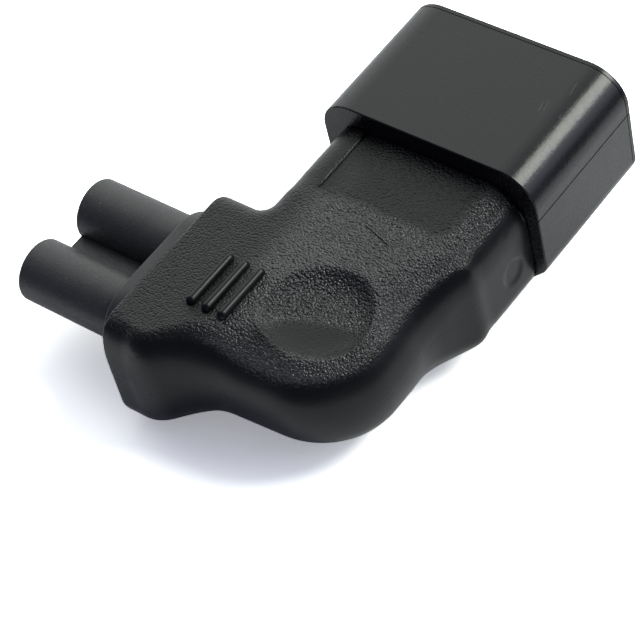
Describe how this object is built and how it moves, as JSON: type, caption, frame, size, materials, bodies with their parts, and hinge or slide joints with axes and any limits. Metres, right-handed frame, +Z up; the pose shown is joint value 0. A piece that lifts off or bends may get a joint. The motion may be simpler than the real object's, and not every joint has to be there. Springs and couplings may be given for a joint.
{
  "type": "right-angle iec power adapter",
  "caption": "Right-angle moulded power adapter with a keyed C14 inlet shroud on one side and a two-barrel C7 connector on the other, joined by a grained soft elbow.",
  "frame": {"origin": "middle of the inlet shroud's underside", "axes": "+Y along the C14 inlet's axis, out of its mouth; -X along the C7 connector's axis, out of its tips; +Z up, square to both"},
  "size_m": [0.0458, 0.0518, 0.019],
  "materials": {
    "grained_pvc": "leather grain, satin",
    "shroud_plastic": "smooth satin with fine scratches",
    "insert_plastic": "matte",
    "blade_metal": "nickel plated brass",
    "contact_metal": "bare brass",
    "conductor": "bare copper",
    "line_jacket": "brown",
    "neutral_jacket": "blue"
  },
  "bodies": {
    "root": {"overmould_body": "grained_pvc", "c14_housing": "shroud_plastic", "c7_insert": "insert_plastic", "line_blade": "blade_metal", "neutral_blade": "blade_metal", "earth_blade": "blade_metal", "line_sleeve": "contact_metal", "neutral_sleeve": "contact_metal", "line_core": "conductor", "neutral_core": "conductor", "line_insulation": "line_jacket", "neutral_insulation": "neutral_jacket"}
  },
  "joints": []
}
